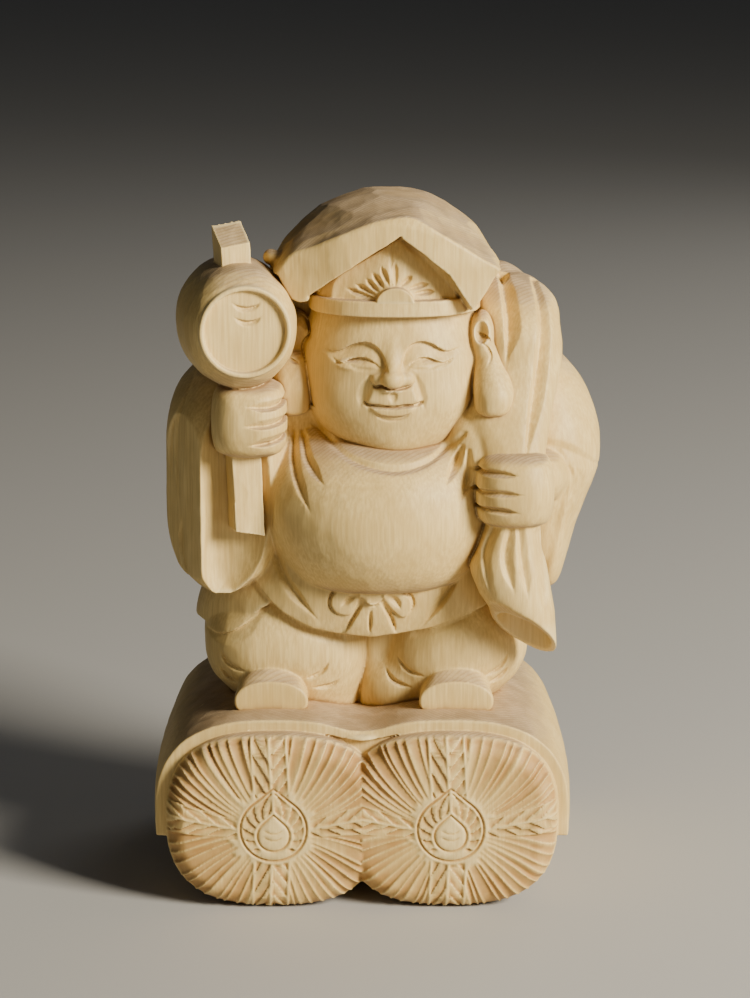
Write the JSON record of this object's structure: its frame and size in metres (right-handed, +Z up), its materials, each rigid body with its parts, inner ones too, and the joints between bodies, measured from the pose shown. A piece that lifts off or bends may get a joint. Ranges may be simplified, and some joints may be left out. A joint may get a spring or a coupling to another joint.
{
  "type": "carved wooden daikoku figure",
  "caption": "Carved wooden Daikoku, god of plenty, standing on cloth-covered rice bales with a mallet and a sack, for a house altar or shelf.",
  "frame": {"origin": "on the surface that the bales stand on, under the centre of the whole carving's bounding box", "axes": "+Z up, -Y the way the figure looks, +X to the right of someone who faces it, on the side of the sack"},
  "size_m": [0.1166, 0.0852, 0.1799],
  "materials": {
    "carved_wood": "bare close-grained pale wood straight from the chisel, with broad burnished facets, a soft satin sheen and warmer orange-brown grooves"
  },
  "bodies": {
    "root": {"daikoku_figure": "carved_wood"}
  },
  "joints": []
}
